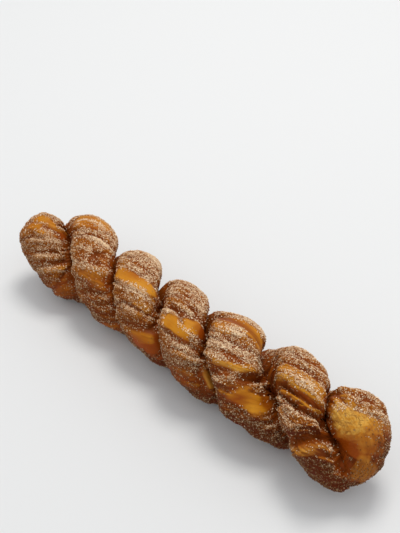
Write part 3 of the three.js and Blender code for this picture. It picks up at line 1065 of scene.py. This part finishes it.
class Term:
    """A shader socket as a term in sums and products."""

    def __init__(self, net: Net, socket: bpy.types.NodeSocket) -> None:
        """Wraps a socket of a net."""
        self.net = net
        self.socket = socket

    def with_(self, operation: str, *others: Any) -> "Term":
        """A Math node on this term and others."""
        inputs = {f"_{i}": value for i, value in enumerate((self, *others))}
        return self.net.term("ShaderNodeMath", 0, {"operation": operation}, **inputs)

    def __add__(self, other: Any) -> "Term":
        """Sum."""
        return self.with_("ADD", other)

    __radd__ = __add__

    def __mul__(self, other: Any) -> "Term":
        """Product."""
        return self.with_("MULTIPLY", other)

    __rmul__ = __mul__

    def __sub__(self, other: Any) -> "Term":
        """Difference."""
        return self.with_("SUBTRACT", other)

    def __rsub__(self, other: Any) -> "Term":
        """Difference from a number."""
        return (self * -1.0) + other

    def clipped(self) -> "Term":
        """The term kept between 0 and 1."""
        return self.net.term("ShaderNodeClamp", 0, None, Value=self)

    def stepped(self, start: float, end: float) -> "Term":
        """Smooth step from 0 at start to 1 at end."""
        settings = {"interpolation_type": "SMOOTHSTEP", "clamp": True}
        node = self.net.node("ShaderNodeMapRange", settings, Value=self, From_Min=start, From_Max=end)
        return Term(self.net, node.outputs["Result"])


Colour = tuple[float, float, float, float]


@dataclass(frozen=True)
class CrustFinish:
    """Fried crust: amber where it is bare, browner where it is sugared, with painted shade in the
    grooves, between the grains, in the valleys and where it turns from the light.
    """

    amber: Colour = (0.52, 0.165, 0.005, 1.0)
    golden: Colour = (0.66, 0.280, 0.018, 1.0)
    pale: Colour = (0.78, 0.42, 0.075, 1.0)
    # A deeper red for the red patches, also painted shade in the valleys and in the low painted shade.
    red_and_shade_colour: Colour = (0.30, 0.054, 0.002, 1.0)
    # brown and deep are painted shade colours; brown also darkens the stretch lines and the cracks.
    brown: Colour = (0.20, 0.040, 0.002, 1.0)
    deep: Colour = (0.095, 0.014, 0.002, 1.0)
    dust: Colour = (0.63, 0.31, 0.11, 1.0)
    sheen: float = 0.1

    def material(self) -> bpy.types.Material:
        """The crust's material, which reads the dough's attributes.

        Returns:
            A Principled material whose colour, roughness and normal vary.
        """
        net = Net("crust")
        # low is the painted shade that Shade writes; crowd is high in the valleys between the strands.
        names = ("bare", "smooth", "pale", "crumbly", "red", "groove", "raised", "crowd", "low")
        bare, smooth, pale, crumbly, red, groove, raised, crowd, low = map(net.attribute, names)
        cloud = net.noise(60.0, 3.0, 0.6)
        fine = net.noise(420.0, 3.0, 0.6)
        grain = net.noise(800.0, 3.0, 0.75)
        sugared = (1.0 - bare).clipped()
        crack = self.cracks(net) * crumbly * fine.stepped(0.42, 0.64)
        line = self.lines(net) * (1.0 - smooth * 0.85)
        # Bare crust: amber and golden in clouds, pale in patches, a deeper red in the red patches and a
        # little under the sugar.
        # The same deep red is painted shade in the valleys and in the low painted shade; crests stay
        # lighter, partly rubbed and partly painted highlight.
        colour = net.mixed((cloud * 2.4 - 0.7).clipped(), self.amber, self.golden)
        colour = net.mixed((pale * fine.stepped(0.25, 0.6)).clipped(), colour, self.pale)
        red_and_shade_share = crowd.stepped(0.48, 0.60) * 0.85 + low.stepped(0.20, 1.0) * 0.85 + red * 0.8
        red_and_shade_share = red_and_shade_share + sugared * 0.25 - raised * 0.35
        colour = net.mixed((red_and_shade_share * (1.0 - pale * 0.8)).clipped(), colour, self.red_and_shade_colour)
        # Painted shade: darker between the grains of sugar and in the grooves, less so on the crests,
        # and darkest in the valleys and, where sugared, in the low painted shade.
        # The stretch lines and the cracks are darker marks of the crust itself.
        speckle = grain.stepped(0.36, 0.60)
        grain_gap_shade = sugared * (0.95 - speckle * 0.6) * (1.0 - raised * 0.40)
        colour = net.mixed(grain_gap_shade.clipped(), colour, self.brown)
        groove_shade_and_lines = groove * 0.85 + line * 0.6 + crack * 0.6
        colour = net.mixed(groove_shade_and_lines.clipped(), colour, self.brown)
        valley = crowd.stepped(0.66, 0.86)
        dark = valley * 0.40 + low.stepped(0.35, 1.0) * sugared * 0.9
        colour = net.mixed(dark.clipped(), colour, self.deep)
        # Fine sugar dusts the sugared crust, less in the valleys and on the stretch lines, and dimmed
        # where the low painted shade lies.
        dusted = grain.stepped(0.54, 0.66) * sugared * (1.0 - valley * 0.6) * (0.65 - low * 0.55)
        dusted = dusted * (1.0 - line * 0.7)
        colour = net.mixed(dusted.clipped(), colour, self.dust)
        height = fine * (0.3 + sugared * 0.4) + grain * (0.1 + sugared * 0.8) - line * 0.7 - crack * 0.6
        bump = net.node("ShaderNodeBump", Strength=0.8, Distance=0.0005, Height=height)
        return net.finished(
            Base_Color=colour,
            Roughness=(0.38 + sugared * 0.3 + fine * 0.12).clipped(),
            Normal=bump.outputs["Normal"],
            Specular_IOR_Level=self.sheen,
        )

    def cracks(self, net: Net) -> "Term":
        """A net of fine cracks: 1 on the edges of cells of about 2 mm, and 0 inside them."""
        edge = {"feature": "DISTANCE_TO_EDGE"}
        cells = net.term("ShaderNodeTexVoronoi", "Distance", edge, Vector=net.place(), Scale=430.0)
        return (1.0 - cells * 9.0).clipped()

    def lines(self, net: Net) -> "Term":
        """Stretch lines with the ridges: 1 where noise that follows the flow passes its middle."""
        flow = net.node("ShaderNodeAttribute", {"attribute_name": "flow"}).outputs["Vector"]
        stripe = net.noise(0.42, 1.5, 0.5, flow)
        return (1.0 - (stripe - 0.5).with_("ABSOLUTE") * 9.0).clipped()


@dataclass(frozen=True)
class SugarFinish:
    """Granulated sugar: clear grains that take the crust's colour, and some white ones, with painted
    shade where the dough's low painted shade lies.
    """

    clear: Colour = (0.43, 0.150, 0.020, 1.0)
    white: Colour = (1.0, 0.80, 0.54, 1.0)
    shaded: Colour = (0.40, 0.33, 0.27, 1.0)
    roughness: float = 0.25
    sheen: float = 0.15

    def material(self) -> bpy.types.Material:
        """The sugar's material, which reads each grain's whiteness.

        Returns:
            A Principled material whose colour varies from grain to grain.
        """
        net = Net("sugar")
        whiteness = net.attribute("whiteness")
        colour = net.mixed(whiteness, self.clear, self.white)
        # Painted shade: grains are tinted darker by the dough's low painted shade, the white ones less.
        shade = net.attribute("low") * (1.15 - whiteness * 0.5)
        colour = net.mixed(shade.clipped(), colour, self.shaded, "MULTIPLY")
        return net.finished(
            Base_Color=colour, Roughness=self.roughness, Specular_IOR_Level=self.sheen
        )


@dataclass(frozen=True)
class FloorFinish:
    """Plain pale floor."""

    colour: Colour = (0.80, 0.80, 0.79, 1.0)
    roughness: float = 0.7

    def material(self) -> bpy.types.Material:
        """The floor's material."""
        return Net("floor").finished(Base_Color=self.colour, Roughness=self.roughness)


# ------------------------------------------------------------------ the dough


@dataclass(frozen=True)
class Shade:
    """Painted shade: where crust and sugar are painted darker, on top of what the lamp and the sky do.
    Lengths are in metres.

    The painted shade lies where they face away from the light and near the floor, a little more in the
    half with the ball, and on the end of the ball that faces the camera.
    """

    light: tuple[float, float, float] = (-0.22, 0.38, 0.90)
    facing: tuple[float, float] = (-0.3, 0.8)
    facing_share: float = 0.7
    floor: tuple[float, float] = (0.004, 0.036)
    floor_share: float = 0.45
    near_half: tuple[float, float] = (-0.05, 0.06)
    near_gain: tuple[float, float] = (0.8, 0.35)
    ball: tuple[float, float] = (0.090, 0.125)
    ball_way: tuple[float, float, float] = (0.75, -0.65, 0.0)
    ball_facing: tuple[float, float] = (0.1, 0.9)
    ball_share: float = 0.70

    def at(self, points: Array, normals: Array) -> Array:
        """Painted shade at each vertex: a sum of smooth steps of its place and its normal.

        Args:
            points: vertices in metres.
            normals: their normals.

        Returns:
            0 in full light, and 1 or more where it is darkest.
        """
        turned = 1 - ease(normals @ np.array(self.light), *self.facing)
        low = self.facing_share * turned + self.floor_share * (1 - ease(points[:, 2], *self.floor))
        end = ease(normals @ np.array(self.ball_way), *self.ball_facing)
        low = low * (self.near_gain[0] + self.near_gain[1] * ease(points[:, 0], *self.near_half))
        return low + self.ball_share * ease(points[:, 0], *self.ball) * end


@dataclass
class Dough:
    """The whole twist of dough as one closed mesh.

    centre is what has to be taken away to bring the strands into the frame, in millimetres.
    """

    form: TwistForm = field(default_factory=TwistForm)
    relief: Relief = field(default_factory=Relief)
    finish: CrustFinish = CrustFinish()
    shade: Shade = Shade()
    centre: tuple[float, float, float] = (-5.474, -2.11, 0.0)
    valley: tuple[float, float] = (0.54, 0.68)
    valley_bare: float = 0.85

    def build(self) -> bpy.types.Object:
        """Joins the two strands and writes what the crust and the sugar need at each vertex.

        Returns:
            The dough's object.
        """
        surfaces = [Strand(rope, self.form, self.relief).surface() for rope in Rope]
        names = ("dough_strand_a", "dough_strand_b")
        shift = np.array(self.centre)
        parts = [
            mesh_object(name, (surface.points - shift) * MM, surface.faces)
            for name, surface in zip(names, surfaces)
        ]
        dough = self.joined(*parts)
        self.mark(dough, surfaces)
        dough.data.materials.clear()
        dough.data.materials.append(self.finish.material())
        return dough

    def joined(self, first: bpy.types.Object, second: bpy.types.Object) -> bpy.types.Object:
        """The union of two closed meshes.

        Args:
            first: object that becomes the union.
            second: object that is joined to it and removed.

        Returns:
            The first object, with its modifier applied.
        """
        modifier = first.modifiers.new("join", "BOOLEAN")
        modifier.operation = "UNION"
        modifier.solver = "MANIFOLD"
        modifier.object = second
        bpy.context.view_layer.update()
        graph = bpy.context.evaluated_depsgraph_get()
        mesh = bpy.data.meshes.new_from_object(first.evaluated_get(graph))
        first.modifiers.clear()
        first.data = mesh
        mesh.name = "dough_crust"
        bpy.data.objects.remove(second)
        first.name = "dough_crust"
        mesh.polygons.foreach_set("use_smooth", np.ones(len(mesh.polygons), bool))
        return first

    def mark(self, dough: bpy.types.Object, surfaces: Sequence[StrandSurface]) -> None:
        """Writes the strands' fields to the joined mesh, matched by place.

        A vertex of the union is either a vertex of one of the strands, or lies on the seam
        where they meet, which takes its neighbours' values.

        Args:
            dough: the joined object.
            surfaces: the strands' surfaces.
        """
        shift = np.array(self.centre)
        mesh = dough.data
        known = np.concatenate([(each.points - shift) * MM for each in surfaces])
        names = tuple(surfaces[0].marks)
        columns = [np.concatenate([each.marks[name] for each in surfaces]) for name in names]
        table = np.column_stack([*columns, np.concatenate([each.flow for each in surfaces])])
        points = vertex_points(mesh)
        found, matched = nearest_by_key(known, points)
        values = spread_values(mesh, matched, np.where(matched[:, None], table[found], 0.0))
        crowd = Crowding(np.concatenate([each.filling for each in surfaces])).at(points / MM + shift)
        marks = dict(zip(names, values.T))
        marks["bare"] = np.maximum(marks["bare"], self.valley_bare * ease(crowd, *self.valley))
        marks["crowd"] = crowd
        # Painted shade, which the crust and the sugar read as low.
        marks["low"] = self.shade.at(points, vertex_normals(mesh))
        for name, column in marks.items():
            set_attribute(mesh, name, column)
        flow = mesh.attributes.new("flow", "FLOAT_VECTOR", "POINT")
        flow.data.foreach_set("vector", values[:, len(names) :].astype(np.float32).ravel())
        LOG.info("dough: %d vertices, %d on the seam", len(points), int((~matched).sum()))


def spread_values(mesh: bpy.types.Mesh, known: Array, values: Array, rings: int = 20) -> Array:
    """Fills in unknown vertices from their neighbours, ring by ring.

    Args:
        mesh: the mesh.
        known: which vertices have values.
        values: one row for each vertex.
        rings: the most rings that are filled in.

    Returns:
        The rows, each unknown one the mean of its known neighbours.
    """
    ends = np.zeros(len(mesh.edges) * 2, np.int32)
    mesh.edges.foreach_get("vertices", ends)
    ends = ends.reshape(-1, 2)
    ends = np.concatenate([ends, ends[:, ::-1]])
    values, known = values.copy(), known.copy()
    for _ in range(rings):
        used = ends[known[ends[:, 0]] & ~known[ends[:, 1]]]
        if not len(used):
            break
        total = np.zeros_like(values)
        count = np.zeros(len(values))
        np.add.at(total, used[:, 1], values[used[:, 0]])
        np.add.at(count, used[:, 1], 1.0)
        fresh = count > 0
        values[fresh] = total[fresh] / count[fresh, None]
        known |= fresh
    return values


def nearest_by_key(known: Array, wanted: Array) -> tuple[Array, Array]:
    """Matches points by their rounded coordinates.

    Args:
        known: points to look among.
        wanted: points to look up.

    Returns:
        For each wanted point the number of a known point, and whether it really matched.
    """
    steps_to_metre = 2e6
    bits = 21

    def keys(points: Array) -> Array:
        """One whole number for each point, in which each coordinate has its own bits."""
        whole = np.round(points * steps_to_metre).astype(np.int64) + (1 << (bits - 1))
        return (whole[:, 0] << (2 * bits)) ^ (whole[:, 1] << bits) ^ whole[:, 2]

    known_keys = keys(known.astype(np.float32).astype(float))
    order = np.argsort(known_keys, kind="stable")
    ranked = known_keys[order]
    sought = keys(wanted)
    place = np.clip(np.searchsorted(ranked, sought), 0, len(ranked) - 1)
    return order[place], ranked[place] == sought


# ------------------------------------------------------------------ the sugar


GRAIN_POINTS = np.array(
    [[x, y, z] for z in (-0.75, 0.75) for x, y in ((0.0, -0.5), (0.87, 0.5), (-0.87, 0.5))]
)
GRAIN_FACES = np.array(
    [[0, 2, 1], [3, 4, 5], [0, 1, 4], [0, 4, 3], [1, 2, 5], [1, 5, 4], [2, 0, 3], [2, 3, 5]]
)


@dataclass
class SugarCoat:
    """Loose grains of sugar on the dough, in a few pieces of like grains.

    The names with white are shares that make a grain whiter, and those with highlight are shares of
    painted highlight that whiten grains on the crests and on faces turned up and back toward the lamp;
    those with loss are shares of the cover that go, and those with cover are a start and what is added
    to it. A grain's size and the jitter of its corners are in millimetres, and uneven and lift are
    shares of its size.
    """

    finish: SugarFinish = SugarFinish()
    pieces: int = 5
    grains_each: int = 17000
    size: tuple[float, float] = (0.42, 1.05)
    uneven: tuple[float, float] = (0.75, 1.15)
    jitter: float = 0.06
    lift: tuple[float, float] = (-0.05, 0.22)
    seed: int = 7
    white_spread: tuple[float, float] = (0.4, 0.9)
    frosted_white: float = 0.35
    crest_white_and_highlight: float = 0.15
    top_highlight: float = 0.3
    rim_highlight: float = 0.35
    bare_loss: float = 0.985
    valley: tuple[float, float] = (0.60, 0.82)
    valley_loss: float = 0.6
    groove_loss: float = 0.5
    streak_cover: tuple[float, float] = (0.12, 1.1)
    top_cover: tuple[float, float] = (0.85, 0.3)
    rim_cover: float = 0.5
    frosting: float = 0.85

    def build(self, dough: bpy.types.Object) -> list[bpy.types.Object]:
        """Strews the grains over the dough.

        Args:
            dough: the dough's object.

        Returns:
            One object for each kind of grain.
        """
        mesh = dough.data
        points, normals, faces = vertex_points(mesh), vertex_normals(mesh), triangles(mesh)
        cover = self.cover(mesh, points, normals)
        random = np.random.default_rng(self.seed)
        corners = points[faces]
        spans = np.cross(corners[:, 1] - corners[:, 0], corners[:, 2] - corners[:, 0])
        reach = np.cumsum(np.linalg.norm(spans, axis=1) * cover[faces].mean(1))
        total = self.pieces * self.grains_each
        drawn = np.searchsorted(reach, random.random(total) * reach[-1])
        shares = random.dirichlet((1.0, 1.0, 1.0), total)
        places = (corners[drawn] * shares[..., None]).sum(1)
        facing = (normals[faces[drawn]] * shares[..., None]).sum(1)
        facing /= np.linalg.norm(facing, axis=1)[:, None]
        frosted, raised, low = (
            self.column(mesh, name)[faces[drawn]].mean(1) for name in ("frosted", "raised", "low")
        )
        whiteness = self.whitened(random.beta(*self.white_spread, total), frosted, raised, facing)
        material = self.finish.material()
        made = []
        for number in range(self.pieces):
            chosen = slice(number * self.grains_each, (number + 1) * self.grains_each)
            name = f"sugar_grains_{number + 1}"
            grains = self.grains(name, places[chosen], facing[chosen], random)
            # low carries the dough's painted shade to each grain.
            for mark, values in (("whiteness", whiteness), ("low", low)):
                set_attribute(grains.data, mark, np.repeat(values[chosen], len(GRAIN_POINTS)))
            grains.data.materials.append(material)
            made.append(grains)
        return made

    @staticmethod
    def column(mesh: bpy.types.Mesh, name: str) -> Array:
        """One of the mesh's attributes, a number for each vertex."""
        values = np.zeros(len(mesh.vertices), np.float32)
        mesh.attributes[name].data.foreach_get("value", values)
        return values.astype(float)

    @staticmethod
    def rim(normals: Array) -> Array:
        """1 on the upper back of the lobes, where the sugar fell thickest and which is turned toward
        the lamp.
        """
        return ease(normals[:, 1], 0.25, 0.8) * ease(normals[:, 2], -0.1, 0.4)

    def whitened(self, drawn: Array, frosted: Array, raised: Array, facing: Array) -> Array:
        """How white each grain is, from 0 to 1: its draw, more where it is frosted, and painted
        highlight on crests and on faces turned up and back toward the lamp.

        Args:
            drawn: a random whiteness for each grain.
            frosted: how frosted the dough is under it.
            raised: how far the dough stands up there.
            facing: the dough's normals there.

        Returns:
            The draw and a share of each of the others, kept between 0 and 1.
        """
        # Frosting whitens the grains; the rest is painted highlight on crests and on faces turned up
        # and back toward the lamp.
        whiteness = drawn + self.frosted_white * frosted + self.crest_white_and_highlight * raised
        whiteness = whiteness + self.top_highlight * ease(facing[:, 2], 0.6, 1.0)
        return np.clip(whiteness + self.rim_highlight * self.rim(facing), 0, 1)

    def cover(self, mesh: bpy.types.Mesh, points: Array, normals: Array) -> Array:
        """How thickly each vertex is sugared: about 1 on plain dough, and more where frosted.

        Args:
            mesh: the dough's mesh.
            points: its vertices.
            normals: their normals.

        Returns:
            (1 - bare), thinned in valleys and grooves, streaked by noise, with frosting added,
            and none where the twist lies on the floor.
        """
        names = ("bare", "crowd", "groove", "frosted", "streak")
        bare, crowd, groove, frosted, streak = (self.column(mesh, name) for name in names)
        least, streaked = self.streak_cover
        plain, topped = self.top_cover
        cover = (1 - self.bare_loss * bare) * (1 - self.valley_loss * ease(crowd, *self.valley))
        cover = cover * (1 - self.groove_loss * groove)
        cover = cover * (least + streaked * ease(streak, -0.45, 0.45)) + self.frosting * frosted
        thickened = plain + topped * ease(normals[:, 2], 0.2, 0.9)
        cover = cover * (thickened + self.rim_cover * self.rim(normals))
        below = ease(-normals[:, 2], 0.75, 0.98) * ease(-points[:, 2], -0.003, -0.001)
        return np.maximum(cover, 0.0) * (1 - below)

    def grains(
        self, name: str, places: Array, facing: Array, random: np.random.Generator
    ) -> bpy.types.Object:
        """One object of separate grains, each a small uneven crystal turned at random.

        Args:
            name: name of the object.
            places: where the grains lie.
            facing: the dough's normals there.
            random: source of the draws.

        Returns:
            The object, with six vertices and eight triangles to a grain.
        """
        count, each = len(places), len(GRAIN_POINTS)
        edges = random.uniform(*self.size, (count, 1)) * random.uniform(*self.uneven, (count, 3))
        jitter = random.uniform(-self.jitter, self.jitter, (count, each, 3))
        shapes = GRAIN_POINTS * (edges[:, None] / 2) + jitter
        turned = np.einsum("nij,nkj->nki", random_turns(count, random), shapes)
        lift = random.uniform(*self.lift, (count, 1)) * edges.mean(1, keepdims=True)
        corners = places[:, None] + (turned + (facing * lift)[:, None]) * MM
        corners[..., 2] = np.maximum(corners[..., 2], 0.0)
        faces = (GRAIN_FACES + each * np.arange(count)[:, None, None]).reshape(-1, 3)
        grains = mesh_object(name, corners.reshape(-1, 3), faces)
        grains.data.polygons.foreach_set("use_smooth", np.zeros(len(faces), bool))
        return grains


def random_turns(count: int, random: np.random.Generator) -> Array:
    """Rotation matrices from random unit quaternions."""
    q = random.normal(size=(count, 4))
    w, x, y, z = (q / np.linalg.norm(q, axis=1)[:, None]).T
    rows = [
        [1 - 2 * (y * y + z * z), 2 * (x * y - z * w), 2 * (x * z + y * w)],
        [2 * (x * y + z * w), 1 - 2 * (x * x + z * z), 2 * (y * z - x * w)],
        [2 * (x * z - y * w), 2 * (y * z + x * w), 1 - 2 * (x * x + y * y)],
    ]
    return np.moveaxis(np.array(rows), 2, 0)


# ------------------------------------------------------------------ floor, light and camera


@dataclass(frozen=True)
class Lamp:
    """A square soft lamp that faces a point. Lengths are in metres, power in watts."""

    name: str
    place: tuple[float, float, float]
    target: tuple[float, float, float]
    side: float
    power: float
    colour: tuple[float, float, float]

    def build(self) -> None:
        """Hangs the lamp in the scene."""
        light = bpy.data.lights.new(self.name, "AREA")
        light.shape = "SQUARE"
        light.size = self.side
        light.energy = self.power
        light.color = self.colour
        lamp = bpy.data.objects.new(self.name, light)
        lamp.location = self.place
        direction = Vector(self.target) - Vector(self.place)
        lamp.rotation_euler = direction.to_track_quat("-Z", "Y").to_euler()
        bpy.context.scene.collection.objects.link(lamp)


@dataclass
class Studio:
    """A pale floor and soft light from overhead, a little behind the twist."""

    finish: FloorFinish = FloorFinish()
    key: Lamp = Lamp("key", (-0.25, 0.62, 1.6), (0.0, 0.0, 0.02), 0.65, 12.5, (1.0, 0.985, 0.965))
    sky: Colour = (0.95, 0.97, 1.0, 1.0)
    sky_strength: float = 0.72
    floor_reach: float = 4.0

    def build(self) -> None:
        """Makes the floor, the lamp and the sky."""
        corners = np.array([[-1, -1, 0], [1, -1, 0], [1, 1, 0], [-1, 1, 0]])
        floor = mesh_object("floor", corners * self.floor_reach, np.array([[0, 1, 2], [0, 2, 3]]))
        floor.data.materials.append(self.finish.material())
        self.key.build()
        world = bpy.data.worlds.new("studio")
        world.use_nodes = True
        background = world.node_tree.nodes["Background"]
        background.inputs["Color"].default_value = self.sky
        background.inputs["Strength"].default_value = self.sky_strength
        bpy.context.scene.world = world


@dataclass
class PhotoCamera:
    """A camera that sees the twist as the photograph does. Its place is in millimetres."""

    place: tuple[float, float, float] = (285.55, -284.57, 447.92)
    right: tuple[float, float, float] = (0.7256, 0.6881, -0.0082)
    forward: tuple[float, float, float] = (-0.5151, 0.5352, -0.6695)
    focal_pixels: float = 915.3
    image: tuple[int, int] = (400, 533)
    film: float = 36.0

    def build(self) -> bpy.types.Object:
        """Makes the camera: its film is as tall as the image, 36 mm."""
        data = bpy.data.cameras.new("photo_camera")
        data.sensor_fit = "VERTICAL"
        data.sensor_height = self.film
        data.lens = self.focal_pixels * self.film / self.image[1]
        data.clip_start = 0.01
        data.clip_end = 20.0
        camera = bpy.data.objects.new("photo_camera", data)
        forward = Vector(self.forward).normalized()
        right = Vector(self.right)
        right = (right - right.dot(forward) * forward).normalized()
        up = right.cross(forward)
        turn = Matrix((right, up, -forward)).transposed()
        camera.matrix_world = Matrix.Translation(Vector(self.place) * MM) @ turn.to_4x4()
        bpy.context.scene.collection.objects.link(camera)
        bpy.context.scene.camera = camera
        return camera


# ------------------------------------------------------------------ the whole scene


def main() -> None:
    """Builds every piece in order."""
    logging.basicConfig(level=logging.INFO, format="%(name)s: %(message)s")
    scene = bpy.context.scene
    scene.view_settings.view_transform = "Standard"
    PhotoCamera().build()
    Studio().build()
    dough = Dough().build()
    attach(dough, "root")
    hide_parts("dough")
    LOG.info("dough: %d triangles", len(triangles(dough.data)))
    for grains in SugarCoat().build(dough):
        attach(grains, "root")
        LOG.info("%s: %d triangles", grains.name, len(grains.data.polygons))


if __name__ == "__main__":
    main()
